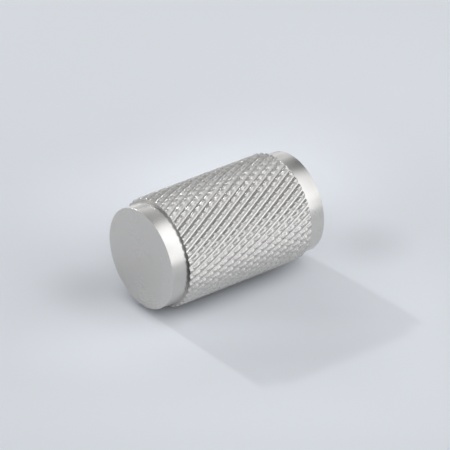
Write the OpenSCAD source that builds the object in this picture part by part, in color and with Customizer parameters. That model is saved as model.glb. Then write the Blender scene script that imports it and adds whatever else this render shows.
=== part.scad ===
// Knurled knob: one solid turned piece, with a diamond knurl between two plain lands.
// A machine screw through the door or drawer front holds it by the tapped hole in its back.
// The origin is the centre of the mounting face, and +Z runs out to the front face.

/* [Body] */
// Length from the mounting face to the front face
knob_l = 30; // [22:0.5:45]
// Width of the plain land at the front
front_land = 3; // [1.5:0.1:5]
// Width of the plain land at the back, next to the door
back_land = 3; // [1.5:0.1:5]
// Chamfer on the outer edge of both end faces
edge_break = 0.1; // [0.1:0.05:0.6]

/* [Knurl] */
// Diameter over the crests of the knurl
knurl_d = 18.2; // [15:0.1:22]
// How far the lands lie below the crests
land_step = 0.75; // [0.7:0.05:1.5]
// Number of grooves round the knob in each of the two directions
knurl_starts = 42; // [38:1:52]
// Angle between a groove and the knob's axis
groove_lead = 27; // [20:1:40]
// Included angle of the V that both wheels cut with
groove_angle = 104; // [90:2:120]
// Width of the flat that is left between two deep grooves
crest_flat = 0.15; // [0.15:0.05:0.4]
// Depth of the second wheel's grooves, as a share of the deep ones that the first wheel cuts
second_cut = 0.55; // [0.4:0.05:0.9]
// Chamfer that takes the crests down at both ends of the knurl
knurl_chamfer = 0.35; // [0.2:0.05:0.35]

/* [Fixing] */
// Core diameter of the tapped hole: 3.3 suits an M4 screw
tap_d = 3.3; // [2.5:0.1:6.8]
// Depth of the tapped wall, from the mounting face
tap_depth = 12; // [8:0.5:16]
// How far the countersink at the mouth widens the hole, on its radius
countersink = 0.55; // [0.3:0.05:1]
// Included angle of the countersink
mouth_angle = 90; // [60:10:120]
// Included angle of the drill's point at the bottom of the hole
drill_angle = 118; // [110:1:140]

/* [Hidden] */
$fn = 42;

metal = [0.74, 0.74, 0.73];
overcut = 1;

crest_r = knurl_d / 2;
land_r = crest_r - land_step;
knurl_l = knob_l - front_land - back_land;

// The knurl is a lattice of half pitches: columns run round the knob, and rows run along it.
// Grooves cross where column plus row is even, and a diamond stands where it is odd.
columns = 2 * knurl_starts;
column_a = 360 / columns;
rows = round(knurl_l * tan(groove_lead) * columns / (PI * knurl_d));
row_h = knurl_l / rows;

// Distance between neighbouring grooves, square to them, and what the V of each wheel takes of it
groove_pitch = PI * knurl_d / knurl_starts * cos(groove_lead);
deep = (groove_pitch - crest_flat) / 2 / tan(groove_angle / 2);
shallow = deep * second_cut;
deep_share = deep * tan(groove_angle / 2) / groove_pitch;
shallow_share = deep_share * second_cut;
// How far up a deep groove's wall the shallow grooves open into it
notch_share = deep_share - shallow_share;

// A point of the knurl. It starts from the crossing of two grooves at that column and row, and goes
// shares of a pitch across the shallow groove and across the deep one.
function on_knurl(column, row, across_shallow, across_deep, depth) =
    let (
        a = (column + across_shallow + across_deep) * column_a,
        z = back_land + (row + across_deep - across_shallow) * row_h,
        r = crest_r - depth
    )
    [r * cos(a), r * sin(a), z];

// Each cell of the lattice has seven points: the crossing on the left of a diamond, the two notches
// that the shallow groove beside it makes, and the corners of the diamond's flat.
CROSSING = 0;
NOTCH = 1;
FAR_NOTCH = 2;
LEFT = 3;
AHEAD = 4;
RIGHT = 5;
BEHIND = 6;
CELL = 7;

// The points of cell j of a row, in that order. A diamond on the knurl's first or last row is cut in
// half, and there the two ends of the cut stand in for the corners that it takes away.
function cell_points(j, row) =
    let (
        column = 2 * j + row % 2,
        cut = [for (share = [deep_share, 1 - deep_share]) on_knurl(column, row, share, share, 0)],
        left = on_knurl(column, row, shallow_share, deep_share, 0),
        ahead = on_knurl(column, row, shallow_share, 1 - deep_share, 0),
        right = on_knurl(column, row, 1 - shallow_share, 1 - deep_share, 0),
        behind = on_knurl(column, row, 1 - shallow_share, deep_share, 0)
    )
    concat(
        [on_knurl(column, row, 0, 0, deep),
         on_knurl(column, row, 0, notch_share, shallow),
         on_knurl(column, row, 0, 1 - notch_share, shallow)],
        row == 0 ? [left, ahead, cut[1], cut[0]] :
        row == rows ? [cut[0], cut[1], right, behind] :
        [left, ahead, right, behind]
    );

// Where a cell's point stands in the list of all points, counting on past the last cell of a row
function index(point, j, row) = CELL * (row * knurl_starts + j % knurl_starts) + point;

// The walls of a diamond and its flat. The near and far walls belong to deep grooves, and the walls on
// the left and right to shallow ones. A diamond on the first or last row keeps half of them.
function cell_faces(j, row) =
    let (
        side = j + row % 2,
        start = index(CROSSING, j, row),
        end = index(CROSSING, j + 1, row),
        back = index(CROSSING, side, row - 1),
        front = index(CROSSING, side, row + 1),
        notch = index(NOTCH, j, row),
        far_notch = index(FAR_NOTCH, j, row),
        next_notch = index(NOTCH, side, row - 1),
        next_far_notch = index(FAR_NOTCH, side, row - 1),
        left = index(LEFT, j, row),
        ahead = index(AHEAD, j, row),
        right = index(RIGHT, j, row),
        behind = index(BEHIND, j, row),
        flat = [left, ahead, right, behind],
        left_wall = [notch, far_notch, ahead, left],
        right_wall = [behind, right, next_far_notch, next_notch]
    )
    row == 0 ?
        [flat, left_wall, [start, notch, left], [start, left, behind],
         [far_notch, front, ahead], [front, end, right, ahead]] :
    row == rows ?
        [flat, right_wall, [start, left, behind, back], [back, behind, next_notch],
         [end, right, ahead], [end, next_far_notch, right]] :
        [flat, left_wall, right_wall,
         [start, notch, left], [start, left, behind, back], [back, behind, next_notch],
         [far_notch, front, ahead], [front, end, right, ahead], [end, next_far_notch, right]];

// The toothed end of the knurl, as triangles round a middle point
function end_faces(row, middle) =
    let (
        teeth = row == 0 ? [CROSSING, BEHIND, RIGHT] : [CROSSING, LEFT, AHEAD],
        outline = [for (j = [0:knurl_starts - 1], p = teeth) index(p, j, row)],
        n = len(outline)
    )
    [for (i = [0:n - 1])
        let (a = outline[i], b = outline[(i + 1) % n])
        row == 0 ? [middle, a, b] : [middle, b, a]];

// The diamonds over the whole knurled length, cut square at both ends
module diamonds() {
    cells = [for (row = [0:rows], j = [0:knurl_starts - 1], p = cell_points(j, row)) p];
    middles = [[0, 0, back_land], [0, 0, back_land + knurl_l]];
    polyhedron(
        points = concat(cells, middles),
        faces = concat(
            [for (row = [0:rows], j = [0:knurl_starts - 1], f = cell_faces(j, row)) f],
            end_faces(0, len(cells)),
            end_faces(rows, len(cells) + 1)
        ),
        convexity = 4
    );
}

// What the knurl was rolled on: a cylinder wider than the crests, whose chamfers begin at its two ends
module blank() {
    foot_r = crest_r - knurl_chamfer;
    chamfer_l = knurl_chamfer + overcut;
    rotate_extrude()
        polygon([
            [0, back_land], [foot_r, back_land], [foot_r + chamfer_l, back_land + chamfer_l],
            [foot_r + chamfer_l, knob_l - front_land - chamfer_l], [foot_r, knob_l - front_land],
            [0, knob_l - front_land]
        ]);
}

// The knurled length, with its crests taken down at the ends
module knurl() {
    intersection() {
        diamonds();
        blank();
    }
}

// The plain core of the knob, whose two ends are the lands
module core() {
    face_r = land_r - edge_break;
    rotate_extrude()
        polygon([
            [0, 0], [face_r, 0], [land_r, edge_break],
            [land_r, knob_l - edge_break], [face_r, knob_l], [0, knob_l]
        ]);
}

// The blind hole for the screw: its tapped wall, the drill's point, and the countersink
module screw_hole() {
    tap_r = tap_d / 2;
    point_l = tap_r / tan(drill_angle / 2);
    mouth_l = countersink / tan(mouth_angle / 2);
    cutter_r = tap_r + countersink + overcut * tan(mouth_angle / 2);
    translate([0, 0, -overcut])
        cylinder(h = overcut + tap_depth, r = tap_r);
    translate([0, 0, tap_depth])
        cylinder(h = point_l, r1 = tap_r, r2 = 0);
    translate([0, 0, -overcut])
        cylinder(h = overcut + mouth_l, r1 = cutter_r, r2 = tap_r);
}

module knob() {
    color(metal)
        difference() {
            union() {
                core();
                knurl();
            }
            screw_hole();
        }
}

knob();
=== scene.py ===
import math

import bmesh
import bpy
from mathutils import Matrix, Vector


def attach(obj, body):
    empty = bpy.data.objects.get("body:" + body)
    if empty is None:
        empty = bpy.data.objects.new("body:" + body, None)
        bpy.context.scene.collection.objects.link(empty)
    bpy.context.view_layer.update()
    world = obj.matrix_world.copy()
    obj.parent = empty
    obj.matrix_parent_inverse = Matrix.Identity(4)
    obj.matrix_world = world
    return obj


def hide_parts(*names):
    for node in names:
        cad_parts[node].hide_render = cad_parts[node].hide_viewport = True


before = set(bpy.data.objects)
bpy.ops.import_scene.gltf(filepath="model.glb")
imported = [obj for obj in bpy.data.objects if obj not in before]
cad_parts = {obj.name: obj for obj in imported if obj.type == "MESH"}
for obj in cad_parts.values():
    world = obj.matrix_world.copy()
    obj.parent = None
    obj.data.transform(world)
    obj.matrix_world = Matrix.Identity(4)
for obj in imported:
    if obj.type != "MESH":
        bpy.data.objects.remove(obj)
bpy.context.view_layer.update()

# ---- Sizes of the knob, in metres ----

MM = 0.001

KNOB_LENGTH = 30 * MM
BACK_LAND = 3 * MM
FRONT_LAND = 3 * MM
LAND_RADIUS = 8.35 * MM
CREST_RADIUS = 9.1 * MM
EDGE_ROUND = 0.03 * MM

KNURL_STARTS = 42
KNURL_LENGTH = KNOB_LENGTH - BACK_LAND - FRONT_LAND
GROOVE_LEAD = math.radians(27)
# Distance between neighbouring grooves round the knob, and square to them
ROUND_PITCH = 2 * math.pi * CREST_RADIUS / KNURL_STARTS
GROOVE_PITCH = ROUND_PITCH * math.cos(GROOVE_LEAD)
# Rows of diamonds that fit between the lands
KNURL_ROWS = round(2 * KNURL_LENGTH * math.tan(GROOVE_LEAD) / ROUND_PITCH)
# The first wheel cuts deep, the second only nicks the ridges that it left
DEEP_CUT = 0.43 * MM
SHALLOW_CUT = 0.21 * MM
# Radius of each groove's rounded floor, and how steeply its walls rise from it
DEEP_FLOOR, DEEP_SLOPE = 0.25 * MM, 1.2
SHALLOW_FLOOR, SHALLOW_SLOPE = 0.10 * MM, 1.0
# How far the edges of a groove are eased, and the edges where two grooves meet
GROOVE_EASE = 0.03 * MM
CROSSING_EASE = 0.02 * MM
# Chamfer that takes the crests down at both ends of the knurl
KNURL_CHAMFER = 0.20 * MM
# Distances from the middle of a groove at which its mesh has a line of points
DEEP_LINES = [0.05 * MM, 0.17 * MM, 0.34 * MM, 0.48 * MM, 0.54 * MM]
SHALLOW_LINES = [0 * MM, 0.09 * MM, 0.265 * MM]

THREAD_MINOR = 1.65 * MM
THREAD_MAJOR = 2.0 * MM
THREAD_PITCH = 0.7 * MM
COUNTERSINK = 0.55 * MM
HOLE_DEPTH = 12 * MM
DRILL_POINT = math.radians(118)

# Segments of a turned circle, of the hole, and of a rounded edge
TURNED_STEPS = 336
HOLE_STEPS = 72
ROUND_STEPS = 4

# Points closer than this are one, and a face that is bent by less than this isn't split
WELD = 0.001 * MM
FLAT_ENOUGH = 0.012 * MM

# ---- How the knob lies, for the camera, the table and the light ----

# It lies on the knurl's crests. UP is the way up for the table, square to the knob's axis. The table, the
# lamps and the camera turn about that axis together, which settles which diamond faces the camera. A fit
# gave the camera's place, directions and lens.
ROLLED = Matrix.Rotation(math.radians(-2.36), 3, "Z")
LYING_TURN = math.radians(54)
UP = ROLLED @ Vector((math.sin(LYING_TURN), -math.cos(LYING_TURN), 0))
TO_CAMERA = (ROLLED @ Vector((0, -0.8496, 0.5275))).normalized()
CAMERA_UP = ROLLED @ Vector((0.9338, -0.1888, -0.3040))
CAMERA_AT = ROLLED @ Vector((0.206, -519.5, 335.9)) * MM
CAMERA_LENS = 308.6

camera_right = CAMERA_UP.cross(TO_CAMERA).normalized()
RIGHT = (camera_right - camera_right.dot(UP) * UP).normalized()
AWAY = UP.cross(RIGHT).normalized()
if AWAY.dot(TO_CAMERA) > 0:
    AWAY = -AWAY


# ---- Small helpers for node trees ----

def link(tree, value, socket):
    """Puts a number, a vector or another socket into a socket."""
    if isinstance(value, bpy.types.NodeSocket):
        tree.links.new(value, socket)
    elif value is not None:
        socket.default_value = value


def math_node(tree, operation, first, second=None, third=None):
    """A sum of up to three numbers or sockets."""
    node = tree.nodes.new("ShaderNodeMath")
    node.operation = operation
    for value, socket in zip((first, second, third), node.inputs):
        link(tree, value, socket)
    return node.outputs[0]


def vector_node(tree, operation, first, second=None):
    """A sum of one or two vectors. A dot product and a length come out as a number."""
    node = tree.nodes.new("ShaderNodeVectorMath")
    node.operation = operation
    link(tree, first, node.inputs[0])
    link(tree, second, node.inputs[1])
    return node.outputs["Value"] if operation in ("DOT_PRODUCT", "LENGTH") else node.outputs["Vector"]


def smooth_step(tree, value, low, high):
    """0 below low, 1 above high, and an even rise between them."""
    node = tree.nodes.new("ShaderNodeMapRange")
    node.interpolation_type = "SMOOTHSTEP"
    link(tree, value, node.inputs["Value"])
    link(tree, low, node.inputs["From Min"])
    link(tree, high, node.inputs["From Max"])
    return node.outputs["Result"]


def shaded(tree, level, share, shade):
    """The level as it is where the share is 0, and times the shade where the share is 1."""
    return math_node(tree, "MULTIPLY", level, math_node(tree, "MULTIPLY_ADD", share, shade - 1, 1.0))


def new_input(group, name, kind, value=None):
    socket = group.interface.new_socket(name=name, in_out="INPUT", socket_type=kind)
    if value is not None:
        socket.default_value = value
    return socket


def made_by_nodes(name, start_mesh, tree, values, material):
    """Runs a geometry tree on a mesh, with its named inputs set, and gives the result as a plain mesh."""
    worker = bpy.data.objects.new(name, start_mesh)
    bpy.context.scene.collection.objects.link(worker)
    modifier = worker.modifiers.new(name, "NODES")
    modifier.node_group = tree
    sockets = {s.name: s.identifier for s in tree.interface.items_tree if s.in_out == "INPUT"}
    for key, value in values.items():
        modifier[sockets[key]] = value
    modifier[sockets["Material"]] = material
    seen = worker.evaluated_get(bpy.context.evaluated_depsgraph_get())
    mesh = bpy.data.meshes.new_from_object(seen)
    bpy.data.objects.remove(worker)
    return mesh


# ---- Finishes ----

def out_from_axis(tree):
    """The way out from the knob's axis to the place that is looked at."""
    place = tree.nodes.new("ShaderNodeTexCoord").outputs["Object"]
    return vector_node(tree, "MULTIPLY", place, (1, 1, 0))


def turning_marks():
    """Fine lines that a lathe tool leaves, on faces and round the bands, with a satin grain over them."""
    group = bpy.data.node_groups.new("Turning marks", "ShaderNodeTree")
    new_input(group, "Line Width", "NodeSocketFloat", 0.1 * MM)
    new_input(group, "Grain Size", "NodeSocketFloat", 0.1 * MM)
    new_input(group, "Line Share", "NodeSocketFloat", 0.5)
    for name in ("Shade", "Wear", "Height"):
        group.interface.new_socket(name=name, in_out="OUTPUT", socket_type="NodeSocketFloat")
    given = group.nodes.new("NodeGroupInput").outputs
    place = group.nodes.new("ShaderNodeTexCoord").outputs["Object"]
    apart = group.nodes.new("ShaderNodeSeparateXYZ")
    link(group, place, apart.inputs[0])
    x, y, z = apart.outputs
    radius = vector_node(group, "LENGTH", out_from_axis(group))
    # Across the tool's path on a face the radius changes, and on a band the height does
    across = math_node(group, "DIVIDE", math_node(group, "ADD", radius, z), given["Line Width"])
    path = group.nodes.new("ShaderNodeCombineXYZ")
    link(group, across, path.inputs[0])
    link(group, math_node(group, "MULTIPLY", x, 60.0), path.inputs[1])
    link(group, math_node(group, "MULTIPLY", y, 60.0), path.inputs[2])
    lines = group.nodes.new("ShaderNodeTexNoise")
    link(group, path.outputs[0], lines.inputs["Vector"])
    link(group, 1.0, lines.inputs["Scale"])
    link(group, 2.0, lines.inputs["Detail"])
    grain = group.nodes.new("ShaderNodeTexNoise")
    link(group, place, grain.inputs["Vector"])
    link(group, math_node(group, "DIVIDE", 1.0, given["Grain Size"]), grain.inputs["Scale"])
    link(group, 3.0, grain.inputs["Detail"])
    # Slow unevenness, a few millimetres across, where the satin brush pressed harder
    cloud = group.nodes.new("ShaderNodeTexNoise")
    link(group, place, cloud.inputs["Vector"])
    link(group, 260.0, cloud.inputs["Scale"])
    link(group, 1.0, cloud.inputs["Detail"])
    mix = group.nodes.new("ShaderNodeMix")
    link(group, given["Line Share"], mix.inputs[0])
    link(group, grain.outputs[0], mix.inputs[2])
    link(group, lines.outputs[0], mix.inputs[3])
    out = group.nodes.new("NodeGroupOutput")
    link(group, mix.outputs[0], out.inputs["Shade"])
    link(group, cloud.outputs[0], out.inputs["Wear"])
    link(group, mix.outputs[0], out.inputs["Height"])
    return group


def steel(name, marks, colour, roughness, line_width, grain_size, line_share, shade, rough_swing, height,
          painted_groove_shade=1.0, painted_floor_highlight=1.0, painted_side_shade=0.0):
    """Satin steel: the marks change its shade, its gloss and its surface, each by the amount given. The last
    three arguments paint light and shade into the colour: down the walls of the knurl's deep grooves a
    painted shade darkens it to the first, the groove floors get a painted highlight of that times the second,
    and the third is how much a painted shade darkens one side of the step."""
    material = bpy.data.materials.new(name)
    material.use_nodes = True
    tree = material.node_tree
    shader = tree.nodes["Principled BSDF"]
    shader.inputs["Metallic"].default_value = 1.0
    group = tree.nodes.new("ShaderNodeGroup")
    group.node_tree = marks
    link(tree, line_width, group.inputs["Line Width"])
    link(tree, grain_size, group.inputs["Grain Size"])
    link(tree, line_share, group.inputs["Line Share"])
    # The noise stays near a half, so it swings both ways about the colour and gloss given
    swing = math_node(tree, "SUBTRACT", group.outputs["Shade"], 0.5)
    level = math_node(tree, "MULTIPLY_ADD", swing, shade, 1.0)
    # Painted shade down the deep grooves' walls, and a painted highlight on their floors
    if painted_groove_shade < 1:
        radius = vector_node(tree, "LENGTH", out_from_axis(tree))
        level = shaded(tree, level, smooth_step(tree, radius, CREST_RADIUS, KNURL_FLOOR), painted_groove_shade)
        level = shaded(tree, level, smooth_step(tree, radius, *FLOOR_HIGHLIGHT_FADES), painted_floor_highlight)
    # Painted shade on one side of the step
    if painted_side_shade > 0:
        outward = vector_node(tree, "NORMALIZE", out_from_axis(tree))
        facing = vector_node(tree, "DOT_PRODUCT", outward, tuple(PAINTED_SHADE_SIDE))
        level = shaded(tree, level, smooth_step(tree, facing, *PAINTED_SHADE_FADES), 1 - painted_side_shade)
    tint = tree.nodes.new("ShaderNodeCombineColor")
    for channel, socket in zip(colour, tint.inputs):
        link(tree, math_node(tree, "MULTIPLY", level, channel), socket)
    link(tree, tint.outputs[0], shader.inputs["Base Color"])
    worn = math_node(tree, "SUBTRACT", group.outputs["Wear"], 0.5)
    gloss = math_node(tree, "MULTIPLY_ADD", worn, rough_swing, roughness)
    link(tree, math_node(tree, "MULTIPLY_ADD", swing, rough_swing, gloss), shader.inputs["Roughness"])
    bump = tree.nodes.new("ShaderNodeBump")
    link(tree, 1.0, bump.inputs["Strength"])
    link(tree, height, bump.inputs["Distance"])
    link(tree, group.outputs["Height"], bump.inputs["Height"])
    link(tree, bump.outputs[0], shader.inputs["Normal"])
    return material


marks = turning_marks()
STEEL = (0.72, 0.715, 0.705)
# Radius at the floors of the deep grooves, and the radii at which the painted highlight on those floors has
# faded out and is full
KNURL_FLOOR = CREST_RADIUS - DEEP_CUT
FLOOR_HIGHLIGHT_FADES = (KNURL_FLOOR + 0.05 * MM, KNURL_FLOOR + 0.01 * MM)
# Way out from the axis to the side of the step that is painted darker, as painted shade, and the shares of
# that
# # way at which the painted shade starts and is full
PAINTED_SHADE_SIDE = ROLLED @ Vector((-0.28, -0.96, 0))
PAINTED_SHADE_FADES = (0.64, 0.98)
turned_steel = steel("Turned satin steel", marks, STEEL, 0.28, line_width=0.09 * MM, grain_size=0.12 * MM,
                     line_share=0.5, shade=0.05, rough_swing=0.05, height=0.0006 * MM)
# The knurl's colour has painted shade down its grooves and a painted highlight on their floors
knurled_steel = steel("Knurled steel", marks, tuple(0.985 * c for c in STEEL), 0.24, line_width=0.05 * MM,
                      grain_size=0.12 * MM, line_share=0.2, shade=1.5, rough_swing=0.2, height=0.040 * MM,
                      painted_groove_shade=0.90, painted_floor_highlight=1.2)
# The step's steel is painted darker all round, as painted shade in the corner, and darker still on one side
step_steel_painted_shade = steel("Steel in the step with painted shade", marks, tuple(0.85 * c for c in STEEL), 0.34, line_width=0.05 * MM,
                   grain_size=0.16 * MM, line_share=0.2, shade=0.4, rough_swing=0.12, height=0.006 * MM,
                   painted_side_shade=0.8)
bored_steel = steel("Tapped steel", marks, tuple(0.9 * c for c in STEEL), 0.34, line_width=0.06 * MM,
                    grain_size=0.15 * MM, line_share=0.5, shade=0.2, rough_swing=0.15, height=0.008 * MM)


# ---- The knurl ----

def eased_min(first, second, ease):
    """The smaller of two numbers, with the corner between them rounded off."""
    return (first + second - math.hypot(first - second, ease)) / 2


def groove_height(distance, depth, floor_radius, slope):
    """Height against the crests of one groove: a rounded floor, a straight wall and an eased edge."""
    if distance < slope * floor_radius:
        rise = distance ** 2 / (2 * floor_radius)
    else:
        rise = slope * distance - slope ** 2 * floor_radius / 2
    return eased_min(rise - depth, 0, GROOVE_EASE)


def knurl_height(x, y):
    """Height against the crests, where x and y count pitches across the shallow and the deep grooves."""
    deep = groove_height(abs(y - round(y)) * GROOVE_PITCH, DEEP_CUT, DEEP_FLOOR, DEEP_SLOPE)
    shallow = groove_height(abs(x - round(x)) * GROOVE_PITCH, SHALLOW_CUT, SHALLOW_FLOOR, SHALLOW_SLOPE)
    return eased_min(deep, shallow, CROSSING_EASE)


def lines_across(distances):
    """The mesh's lines over one pitch, in pitches, from a groove's first line to that of the next groove."""
    near = [distance / GROOVE_PITCH for distance in distances]
    far = [1 - share for share in reversed(near)]
    return near + far if near[0] == 0 else [-near[0]] + near + far


def knurl_cell():
    """One cell of the knurl laid flat: x and y count pitches across the shallow and the deep grooves, and z
    is height. A face that is bent where grooves meet is split along the diagonal that lies closer to the
    cut."""
    xs = lines_across(SHALLOW_LINES)
    ys = lines_across(DEEP_LINES)
    points = [(x, y, knurl_height(x, y)) for x in xs for y in ys]
    faces = []
    for i in range(len(xs) - 1):
        for j in range(len(ys) - 1):
            a = i * len(ys) + j
            b, c, d = a + len(ys), a + len(ys) + 1, a + 1
            middle = knurl_height((xs[i] + xs[i + 1]) / 2, (ys[j] + ys[j + 1]) / 2)
            off_ac = abs((points[a][2] + points[c][2]) / 2 - middle)
            off_bd = abs((points[b][2] + points[d][2]) / 2 - middle)
            if max(off_ac, off_bd) < FLAT_ENOUGH:
                faces.append((a, b, c, d))
            elif off_ac <= off_bd:
                faces += [(a, b, c), (a, c, d)]
            else:
                faces += [(a, b, d), (b, c, d)]
    cell = bpy.data.meshes.new("Knurl cell")
    cell.from_pydata(points, [], faces)
    return cell


def knurl_tree():
    """Lines cells up along one deep groove, wraps the row round the knob, and turns copies about the axis."""
    tree = bpy.data.node_groups.new("Diamond knurl", "GeometryNodeTree")
    new_input(tree, "Cell", "NodeSocketGeometry")
    new_input(tree, "Starts", "NodeSocketInt", 42)
    new_input(tree, "Rows", "NodeSocketInt", 18)
    new_input(tree, "Crest Radius", "NodeSocketFloat")
    new_input(tree, "From Back", "NodeSocketFloat")
    new_input(tree, "Length", "NodeSocketFloat")
    new_input(tree, "Material", "NodeSocketMaterial")
    tree.interface.new_socket(name="Knurl", in_out="OUTPUT", socket_type="NodeSocketGeometry")
    given = tree.nodes.new("NodeGroupInput").outputs
    index = tree.nodes.new("GeometryNodeInputIndex").outputs[0]

    # One cell for each row of diamonds and two more, because the ends cut through the cells at a slant
    row_points = tree.nodes.new("GeometryNodePoints")
    link(tree, math_node(tree, "ADD", given["Rows"], 2), row_points.inputs["Count"])
    row_place = tree.nodes.new("ShaderNodeCombineXYZ")
    link(tree, index, row_place.inputs[1])
    link(tree, row_place.outputs[0], row_points.inputs["Position"])
    row = tree.nodes.new("GeometryNodeInstanceOnPoints")
    link(tree, row_points.outputs[0], row.inputs["Points"])
    link(tree, given["Cell"], row.inputs["Instance"])
    row_mesh = tree.nodes.new("GeometryNodeRealizeInstances")
    link(tree, row.outputs[0], row_mesh.inputs[0])

    # Pitches across the two cuts become an angle and a height, and the height of the cut a radius
    apart = tree.nodes.new("ShaderNodeSeparateXYZ")
    link(tree, tree.nodes.new("GeometryNodeInputPosition").outputs[0], apart.inputs[0])
    shallow, deep, height = apart.outputs
    turn = math_node(tree, "DIVIDE", math_node(tree, "ADD", shallow, deep), given["Starts"])
    angle = math_node(tree, "MULTIPLY", turn, math.pi)
    along = math_node(tree, "DIVIDE", math_node(tree, "SUBTRACT", deep, shallow), given["Rows"])
    radius = math_node(tree, "ADD", given["Crest Radius"], height)
    wrapped = tree.nodes.new("ShaderNodeCombineXYZ")
    link(tree, math_node(tree, "MULTIPLY", radius, math_node(tree, "COSINE", angle)), wrapped.inputs[0])
    link(tree, math_node(tree, "MULTIPLY", radius, math_node(tree, "SINE", angle)), wrapped.inputs[1])
    link(tree, math_node(tree, "MULTIPLY_ADD", along, given["Length"], given["From Back"]), wrapped.inputs[2])
    wrap = tree.nodes.new("GeometryNodeSetPosition")
    link(tree, row_mesh.outputs[0], wrap.inputs["Geometry"])
    link(tree, wrapped.outputs[0], wrap.inputs["Position"])

    # The same row again for every start, each turned by one pitch
    start_points = tree.nodes.new("GeometryNodePoints")
    link(tree, given["Starts"], start_points.inputs["Count"])
    start_turn = tree.nodes.new("ShaderNodeCombineXYZ")
    step = math_node(tree, "DIVIDE", 2 * math.pi, given["Starts"])
    link(tree, math_node(tree, "MULTIPLY", index, step), start_turn.inputs[2])
    round_knob = tree.nodes.new("GeometryNodeInstanceOnPoints")
    link(tree, start_points.outputs[0], round_knob.inputs["Points"])
    link(tree, wrap.outputs[0], round_knob.inputs["Instance"])
    link(tree, start_turn.outputs[0], round_knob.inputs["Rotation"])
    whole = tree.nodes.new("GeometryNodeRealizeInstances")
    link(tree, round_knob.outputs[0], whole.inputs[0])
    finish = tree.nodes.new("GeometryNodeSetMaterial")
    link(tree, whole.outputs[0], finish.inputs["Geometry"])
    link(tree, given["Material"], finish.inputs["Material"])
    link(tree, finish.outputs[0], tree.nodes.new("NodeGroupOutput").inputs["Knurl"])
    return tree


# ---- The thread in the hole ----

def thread_tree():
    """A sheet of rows that climb the hole as a screw does, pushed out to the thread's shape. It fades out at
    both ends of the hole."""
    tree = bpy.data.node_groups.new("Tapped thread", "GeometryNodeTree")
    new_input(tree, "Sheet", "NodeSocketGeometry")
    new_input(tree, "Around", "NodeSocketInt", 72)
    new_input(tree, "Steps", "NodeSocketInt", 6)
    new_input(tree, "Pitch", "NodeSocketFloat")
    new_input(tree, "Crest Radius", "NodeSocketFloat")
    new_input(tree, "Depth", "NodeSocketFloat")
    new_input(tree, "From", "NodeSocketFloat")
    new_input(tree, "To", "NodeSocketFloat")
    new_input(tree, "Material", "NodeSocketMaterial")
    tree.interface.new_socket(name="Thread", in_out="OUTPUT", socket_type="NodeSocketGeometry")
    given = tree.nodes.new("NodeGroupInput").outputs
    length = math_node(tree, "SUBTRACT", given["To"], given["From"])
    turns = math_node(tree, "CEIL", math_node(tree, "DIVIDE", length, given["Pitch"]))
    rows = math_node(tree, "MULTIPLY", math_node(tree, "ADD", turns, 1), given["Steps"])

    sheet = tree.nodes.new("GeometryNodeMeshGrid")
    link(tree, 1.0, sheet.inputs["Size X"])
    link(tree, math_node(tree, "ADD", turns, 1), sheet.inputs["Size Y"])
    link(tree, math_node(tree, "ADD", given["Around"], 1), sheet.inputs["Vertices X"])
    link(tree, math_node(tree, "ADD", rows, 1), sheet.inputs["Vertices Y"])
    apart = tree.nodes.new("ShaderNodeSeparateXYZ")
    link(tree, tree.nodes.new("GeometryNodeInputPosition").outputs[0], apart.inputs[0])
    # The sheet is centred, so both counts start from its corner
    turn = math_node(tree, "ADD", apart.outputs[0], 0.5)
    climb = math_node(tree, "MULTIPLY_ADD", math_node(tree, "ADD", turns, 1), 0.5, apart.outputs[1])
    turns_up = math_node(tree, "SUBTRACT", climb, turn)
    height = math_node(tree, "MULTIPLY_ADD", turns_up, given["Pitch"], given["From"])
    height = math_node(tree, "MINIMUM", math_node(tree, "MAXIMUM", height, given["From"]), given["To"])
    wave = math_node(tree, "PINGPONG", climb, 0.5)
    cut = math_node(tree, "MINIMUM", math_node(tree, "MULTIPLY", wave, 3.0), 1.0)
    runout = math_node(tree, "MULTIPLY", given["Pitch"], 0.8)
    fade_in = smooth_step(tree, height, given["From"], math_node(tree, "ADD", given["From"], runout))
    fade_out = smooth_step(tree, height, given["To"], math_node(tree, "SUBTRACT", given["To"], runout))
    cut = math_node(tree, "MULTIPLY", math_node(tree, "MULTIPLY", cut, fade_in), fade_out)
    radius = math_node(tree, "MULTIPLY_ADD", cut, given["Depth"], given["Crest Radius"])
    angle = math_node(tree, "MULTIPLY", turn, 2 * math.pi)
    place = tree.nodes.new("ShaderNodeCombineXYZ")
    link(tree, math_node(tree, "MULTIPLY", radius, math_node(tree, "COSINE", angle)), place.inputs[0])
    link(tree, math_node(tree, "MULTIPLY", radius, math_node(tree, "SINE", angle)), place.inputs[1])
    link(tree, height, place.inputs[2])
    shape = tree.nodes.new("GeometryNodeSetPosition")
    link(tree, sheet.outputs[0], shape.inputs["Geometry"])
    link(tree, place.outputs[0], shape.inputs["Position"])
    whole = tree.nodes.new("GeometryNodeRealizeInstances")
    link(tree, shape.outputs[0], whole.inputs[0])
    finish = tree.nodes.new("GeometryNodeSetMaterial")
    link(tree, whole.outputs[0], finish.inputs["Geometry"])
    link(tree, given["Material"], finish.inputs["Material"])
    link(tree, finish.outputs[0], tree.nodes.new("NodeGroupOutput").inputs["Thread"])
    return tree


# ---- Turned surfaces between them ----

def turned_ring(work, radius, height, steps):
    """A ring of points about the axis."""
    turns = [2 * math.pi * k / steps for k in range(steps)]
    return [work.verts.new((radius * math.cos(turn), radius * math.sin(turn), height)) for turn in turns]


def around(vert):
    """How far round the axis a point lies, from 0 to a full turn."""
    return math.atan2(vert.co.y, vert.co.x) % (2 * math.pi)


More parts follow.
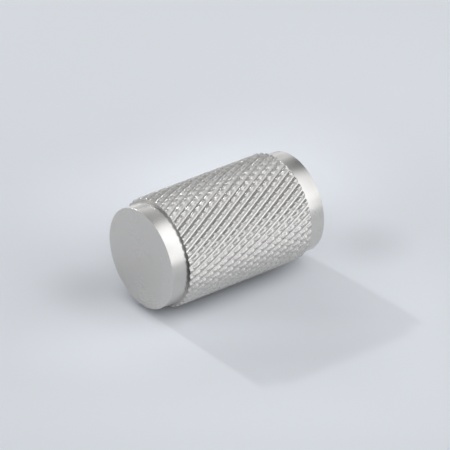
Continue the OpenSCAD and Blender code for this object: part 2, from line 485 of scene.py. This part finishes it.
def zip_rings(work, first, second, finish):
    """Closes the gap between two rings of points about the axis, which may have different counts."""
    first = sorted(first, key=around)
    second = sorted(second, key=around)
    i = j = 0
    while i < len(first) or j < len(second):
        next_first = around(first[i + 1]) if i + 1 < len(first) else 2 * math.pi + around(first[0])
        next_second = around(second[j + 1]) if j + 1 < len(second) else 2 * math.pi + around(second[0])
        a, b = first[i % len(first)], second[j % len(second)]
        if j >= len(second) or (i < len(first) and next_first <= next_second):
            c = first[(i + 1) % len(first)]
            i += 1
        else:
            c = second[(j + 1) % len(second)]
            j += 1
        work.faces.new((a, b, c)).material_index = finish


def open_ring(work, height):
    """The loose edge of the mesh that lies at that height, as points."""
    loose = [e for e in work.edges if e.is_boundary and all(abs(v.co.z - height) < WELD for v in e.verts)]
    return list({v for e in loose for v in e.verts})


def turned_run(work, ring, stations, finish, steps):
    """Continues the mesh from a ring through turned rings, each given as its radius and height."""
    for radius, height in stations:
        if radius == 0:
            tip = work.verts.new((0, 0, height))
            ring = sorted(ring, key=around)
            for k, vert in enumerate(ring):
                work.faces.new((vert, ring[(k + 1) % len(ring)], tip)).material_index = finish
            return [tip]
        new_ring = turned_ring(work, radius, height, steps)
        zip_rings(work, ring, new_ring, finish)
        ring = new_ring
    return ring


def rounded_rim(height, outward):
    """The rounded edge between a land and an end face, from the land onto the face."""
    centre = LAND_RADIUS - EDGE_ROUND
    base = height - outward * EDGE_ROUND
    steps = [math.pi / 2 * k / ROUND_STEPS for k in range(ROUND_STEPS + 1)]
    return [(centre + EDGE_ROUND * math.cos(a), base + outward * EDGE_ROUND * math.sin(a)) for a in steps]


TURNED, KNURLED, TAPPED, STEP = range(4)

knurl_mesh = made_by_nodes("Knurl", knurl_cell(), knurl_tree(), {
    "Starts": KNURL_STARTS, "Rows": KNURL_ROWS, "Crest Radius": CREST_RADIUS,
    "From Back": BACK_LAND, "Length": KNURL_LENGTH}, knurled_steel)
thread_mesh = made_by_nodes("Thread", bpy.data.meshes.new("Thread sheet"), thread_tree(), {
    "Around": HOLE_STEPS, "Steps": 6, "Pitch": THREAD_PITCH, "Crest Radius": THREAD_MINOR,
    "Depth": THREAD_MAJOR - THREAD_MINOR, "From": COUNTERSINK, "To": HOLE_DEPTH}, bored_steel)

# The knurl, welded, and cut off square where the lands begin
work = bmesh.new()
work.from_mesh(knurl_mesh)
bmesh.ops.remove_doubles(work, verts=work.verts, dist=WELD)
for height, way in ((BACK_LAND, -1), (KNOB_LENGTH - FRONT_LAND, 1)):
    everything = work.verts[:] + work.edges[:] + work.faces[:]
    bmesh.ops.bisect_plane(work, geom=everything, dist=WELD, plane_co=(0, 0, height), plane_no=(0, 0, way),
                           clear_outer=True)
    for vert in work.verts:
        radius = vert.co.xy.length
        lowered = CREST_RADIUS - KNURL_CHAMFER + abs(height - vert.co.z)
        if radius > lowered:
            vert.co.xy *= lowered / radius
for face in work.faces:
    face.material_index = KNURLED
knurl_ends = [open_ring(work, BACK_LAND), open_ring(work, KNOB_LENGTH - FRONT_LAND)]

# The front land, its rim and the face, which closes in the middle. The step starts just below the grooves.
foot = KNURL_FLOOR - 0.02 * MM
step = [(foot, KNOB_LENGTH - FRONT_LAND), (LAND_RADIUS, KNOB_LENGTH - FRONT_LAND)]
rim = turned_run(work, knurl_ends[1], step, STEP, TURNED_STEPS)
rim = turned_run(work, rim, rounded_rim(KNOB_LENGTH, 1), TURNED, TURNED_STEPS)
rim = turned_run(work, rim, [(LAND_RADIUS / 2, KNOB_LENGTH)], TURNED, TURNED_STEPS // 4)
turned_run(work, rim, [(LAND_RADIUS / 8, KNOB_LENGTH), (0, KNOB_LENGTH)], TURNED, TURNED_STEPS // 16)

# The back land and the mounting face, up to the countersink
mouth_radius = THREAD_MINOR + COUNTERSINK
rim = turned_run(work, knurl_ends[0], [(foot, BACK_LAND), (LAND_RADIUS, BACK_LAND)], STEP, TURNED_STEPS)
rim = turned_run(work, rim, rounded_rim(0, -1), TURNED, TURNED_STEPS)
rim = turned_run(work, rim, [(LAND_RADIUS / 2, 0)], TURNED, TURNED_STEPS // 2)
mouth = turned_run(work, rim, [(mouth_radius, 0)], TURNED, HOLE_STEPS)
turned_run(work, mouth, [(THREAD_MINOR, COUNTERSINK)], TAPPED, HOLE_STEPS)

# The drill's point at the bottom of the hole
bottom = turned_ring(work, THREAD_MINOR, HOLE_DEPTH, HOLE_STEPS)
point = HOLE_DEPTH + THREAD_MINOR / math.tan(DRILL_POINT / 2)
third = (THREAD_MINOR / 3, point - (point - HOLE_DEPTH) / 3)
turned_run(work, bottom, [third, (0, point)], TAPPED, HOLE_STEPS)

knurled = bpy.data.meshes.new("Knob")
already = len(work.faces)
work.from_mesh(thread_mesh)
for face in work.faces[already:]:
    face.material_index = TAPPED
bmesh.ops.remove_doubles(work, verts=work.verts, dist=WELD)
bmesh.ops.dissolve_degenerate(work, dist=WELD / 10, edges=work.edges)
bmesh.ops.recalc_face_normals(work, faces=work.faces)
work.to_mesh(knurled)
work.free()
for material in (turned_steel, knurled_steel, bored_steel, step_steel_painted_shade):
    knurled.materials.append(material)
knurled.shade_smooth()
knurled.set_sharp_from_angle(angle=math.radians(70))
knob = bpy.data.objects.new("Knurled_knob", knurled)
bpy.context.scene.collection.objects.link(knob)

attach(knob, "root")
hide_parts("knob")


# ---- Table, light and camera ----

# The board, the painted colour its reflection has in the metal, and how the lit board looks where it ends and
# the world goes on
TABLE_COLOUR = (0.74, 0.774, 0.823)
TABLE_IN_METAL = (0.672, 0.682, 0.701)
TABLE_SEEN = (0.643, 0.672, 0.716)
# Strength of a painted glow, as bright as the lit board, that the board gives only in the metal's
# reflections, and the share of that glow that the metal sees even in the knob's shadow
PAINTED_GLOW_LEVEL = 0.875
PAINTED_GLOW_SHARE = 0.18

table_mesh = bpy.data.meshes.new("Table")
reach = 3.0
sides = ((-1, -1), (1, -1), (1, 1), (-1, 1))
corners = [-UP * CREST_RADIUS + RIGHT * a * reach + AWAY * b * reach for a, b in sides]
table_mesh.from_pydata([tuple(c) for c in corners], [], [(0, 1, 2, 3)])
if table_mesh.polygons[0].normal.dot(UP) < 0:
    table_mesh.flip_normals()
table = bpy.data.objects.new("Table", table_mesh)
bpy.context.scene.collection.objects.link(table)


# Painted light and shade in the board's colour: how far to the right and away the middle of each place lies,
# how
# # far the place reaches both ways, all in millimetres, and how much the board's shade changes. A fitting
# program
# # made these numbers, and they are only rounded
PAINTED_TABLE_PATCHES = (
    # Painted light: a wide glow behind, and the light that the metal throws behind it and to its left
    (22, 43, 83, 83, 0.07),
    (-4, 23, 30, 34, 0.17),
    (-16, 14, 38, 28, 0.17),
    # Painted shade off the knob's front and back ends
    (-33, -12, 10, 10, -0.10),
    (13, 2, 9, 10, -0.12),
    # Painted light: a wide glow in front, and light to both sides of the shadow and near its left edge
    (6, -48, 80, 30, 0.11),
    (-27, -29, 26, 15, 0.09),
    (20, -20, 18, 30, 0.10),
    (-10, -25, 28, 9, 0.07),
)

# The painted shade under the knob: how far it reaches to both sides of the line on which the knob lies, the
# # heights up the axis between which it comes in at the back end and goes out past the front, and how much of
# # the board's colour it takes
CONTACT_REACH = 9 * MM
CONTACT_START = (-1 * MM, 10 * MM)
CONTACT_END = (KNOB_LENGTH + 2 * MM, KNOB_LENGTH - 2 * MM)
CONTACT_SHADE = 0.50


def table_shade(tree):
    """How light the board's colour is painted at each place: its painted patches of light and shade, and the
    painted shade under the knob.
    """
    place = tree.nodes.new("ShaderNodeTexCoord").outputs["Object"]
    right = vector_node(tree, "DOT_PRODUCT", place, tuple(RIGHT))
    away = vector_node(tree, "DOT_PRODUCT", place, tuple(AWAY))
    shade = 1.0
    for to_right, to_away, wide, deep, change in PAINTED_TABLE_PATCHES:
        across = math_node(tree, "DIVIDE", math_node(tree, "SUBTRACT", right, to_right * MM), wide * MM)
        along = math_node(tree, "DIVIDE", math_node(tree, "SUBTRACT", away, to_away * MM), deep * MM)
        apart = math_node(tree, "SQRT", math_node(tree, "ADD", math_node(tree, "MULTIPLY", across, across),
                                                  math_node(tree, "MULTIPLY", along, along)))
        shade = math_node(tree, "MULTIPLY_ADD", smooth_step(tree, apart, 1.0, 0.0), change, shade)
    # Painted shade under the knob, where hardly any light gets in
    axis_height = vector_node(tree, "DOT_PRODUCT", place, (0, 0, 1))
    off_axis = vector_node(tree, "DOT_PRODUCT", place, tuple(UP.cross((0, 0, 1))))
    under = smooth_step(tree, math_node(tree, "ABSOLUTE", off_axis), CONTACT_REACH, 0.0)
    under = math_node(tree, "MULTIPLY", under, smooth_step(tree, axis_height, *CONTACT_START))
    under = math_node(tree, "MULTIPLY", under, smooth_step(tree, axis_height, *CONTACT_END))
    return shaded(tree, shade, under, 1 - CONTACT_SHADE)


def table_finish():
    """Plain pale board. From below it isn't there, so that the knob can be looked at from that side too. In
    the metal's reflections it has a painted colour without its cool tint and a painted glow, so it never goes
    quite dark there."""
    material = bpy.data.materials.new("Pale table")
    material.use_nodes = True
    tree = material.node_tree
    board = tree.nodes["Principled BSDF"]
    shade = table_shade(tree)
    seen = tree.nodes.new("ShaderNodeMix")
    seen.data_type = "RGBA"
    in_metal_only = tree.nodes.new("ShaderNodeLightPath").outputs["Is Glossy Ray"]
    link(tree, in_metal_only, seen.inputs[0])
    for colour, socket in ((TABLE_COLOUR, seen.inputs[6]), (TABLE_IN_METAL, seen.inputs[7])):
        tinted = vector_node(tree, "SCALE", colour)
        link(tree, shade, tinted.node.inputs["Scale"])
        link(tree, tinted, socket)
    link(tree, seen.outputs[2], board.inputs["Base Color"])
    board.inputs["Roughness"].default_value = 0.9
    board.inputs["Specular IOR Level"].default_value = 0.1
    # A painted glow that the board gives only in the metal's reflections
    painted_glow = tree.nodes.new("ShaderNodeEmission")
    link(tree, (*TABLE_IN_METAL, 1), painted_glow.inputs["Color"])
    link(tree, PAINTED_GLOW_LEVEL, painted_glow.inputs["Strength"])
    lit = tree.nodes.new("ShaderNodeMixShader")
    link(tree, math_node(tree, "MULTIPLY", in_metal_only, PAINTED_GLOW_SHARE), lit.inputs[0])
    link(tree, board.outputs[0], lit.inputs[1])
    link(tree, painted_glow.outputs[0], lit.inputs[2])
    clear = tree.nodes.new("ShaderNodeBsdfTransparent")
    side = tree.nodes.new("ShaderNodeMixShader")
    link(tree, tree.nodes.new("ShaderNodeNewGeometry").outputs["Backfacing"], side.inputs[0])
    link(tree, lit.outputs[0], side.inputs[1])
    link(tree, clear.outputs[0], side.inputs[2])
    link(tree, side.outputs[0], tree.nodes["Material Output"].inputs["Surface"])
    return material


table_mesh.materials.append(table_finish())


def studio_way(azimuth, elevation):
    """A direction from the knob, in degrees. Azimuth 0 is on the right and 90 is away from the camera."""
    a, e = math.radians(azimuth), math.radians(elevation)
    return (RIGHT * math.cos(a) + AWAY * math.sin(a)) * math.cos(e) + UP * math.sin(e)


# Light of the room near the table and overhead, and the rise of a way's upward share over which it changes.
# A fitting program made these four numbers and the panels below, whose angles are only rounded
LOW_LIGHT, HIGH_LIGHT = 1.36, 0.813
LIGHT_CHANGES = (0.32, 0.576)
# Soft panels that add light and dark cards that take it away: azimuth, elevation, where the full level ends
# and where it has faded out, in degrees from the middle, and the level
PANELS = (
    # Panels on the right and in front, a little to the left
    (4, 44, 7, 37, 0.87),
    (247, 29, 32, 38, 0.90),
    # Cards near the table in front and behind, and a wide one high up on the left
    (298, 6, 16, 22, -0.90),
    (38, 9, 43, 54, -0.68),
    (98, 15, 6, 12, -0.89),
    (178, 53, 38, 66, -0.60),
)


def studio():
    """Soft light from all round, less of it overhead, with the panels and cards in it. The camera sees the
    board's own look instead."""
    world = bpy.data.worlds.new("Studio")
    bpy.context.scene.world = world
    world.use_nodes = True
    tree = world.node_tree
    tree.nodes.clear()
    way = tree.nodes.new("ShaderNodeTexCoord").outputs["Generated"]
    high = smooth_step(tree, vector_node(tree, "DOT_PRODUCT", way, tuple(UP)), *LIGHT_CHANGES)
    level = math_node(tree, "MULTIPLY_ADD", high, HIGH_LIGHT - LOW_LIGHT, LOW_LIGHT)
    for azimuth, elevation, full, faded, change in PANELS:
        facing = vector_node(tree, "DOT_PRODUCT", way, tuple(studio_way(azimuth, elevation)))
        share = smooth_step(tree, facing, math.cos(math.radians(faded)), math.cos(math.radians(full)))
        level = math_node(tree, "MULTIPLY_ADD", share, change, level)
    level = math_node(tree, "MAXIMUM", level, 0.0)
    colour = tree.nodes.new("ShaderNodeCombineColor")
    for socket in colour.inputs:
        link(tree, level, socket)
    seen = tree.nodes.new("ShaderNodeMix")
    seen.data_type = "RGBA"
    link(tree, tree.nodes.new("ShaderNodeLightPath").outputs["Is Camera Ray"], seen.inputs[0])
    link(tree, colour.outputs[0], seen.inputs[6])
    link(tree, (*TABLE_SEEN, 1), seen.inputs[7])
    light = tree.nodes.new("ShaderNodeBackground")
    link(tree, seen.outputs[2], light.inputs[0])
    link(tree, light.outputs[0], tree.nodes.new("ShaderNodeOutputWorld").inputs[0])


studio()


def soft_lamp(name, azimuth, elevation, distance, size, power):
    """A round soft lamp aimed at the knob."""
    way = studio_way(azimuth, elevation)
    data = bpy.data.lights.new(name, "AREA")
    data.shape = "DISK"
    data.size = size
    data.energy = power
    lamp = bpy.data.objects.new(name, data)
    lamp.location = way * distance + Vector((0, 0, KNOB_LENGTH / 2))
    lamp.rotation_mode = "QUATERNION"
    lamp.rotation_quaternion = way.to_track_quat("Z", "Y")
    bpy.context.scene.collection.objects.link(lamp)
    return lamp


# A small lamp behind on the left that throws the one soft shadow, and a wider one in the same place that only
# glints
LAMP_AZIMUTH, LAMP_ELEVATION, LAMP_DISTANCE = 131, 33, 0.6
KEY_SIZE, GLINT_SIZE = 0.03, 0.12
key = soft_lamp("Key", LAMP_AZIMUTH, LAMP_ELEVATION, LAMP_DISTANCE, KEY_SIZE, 0.60)
key.visible_glossy = False
glint = soft_lamp("Glint", LAMP_AZIMUTH, LAMP_ELEVATION, LAMP_DISTANCE, GLINT_SIZE, 1.8)
glint.visible_diffuse = False

lens = bpy.data.cameras.new("Camera")
lens.lens = CAMERA_LENS
lens.sensor_width = 36
lens.clip_start = 0.01
lens.clip_end = 50
camera = bpy.data.objects.new("Camera", lens)
stand = Matrix((camera_right, TO_CAMERA.cross(camera_right), TO_CAMERA)).transposed().to_4x4()
stand.translation = CAMERA_AT
camera.matrix_world = stand
bpy.context.scene.collection.objects.link(camera)
bpy.context.scene.camera = camera
bpy.context.scene.view_settings.view_transform = "Standard"
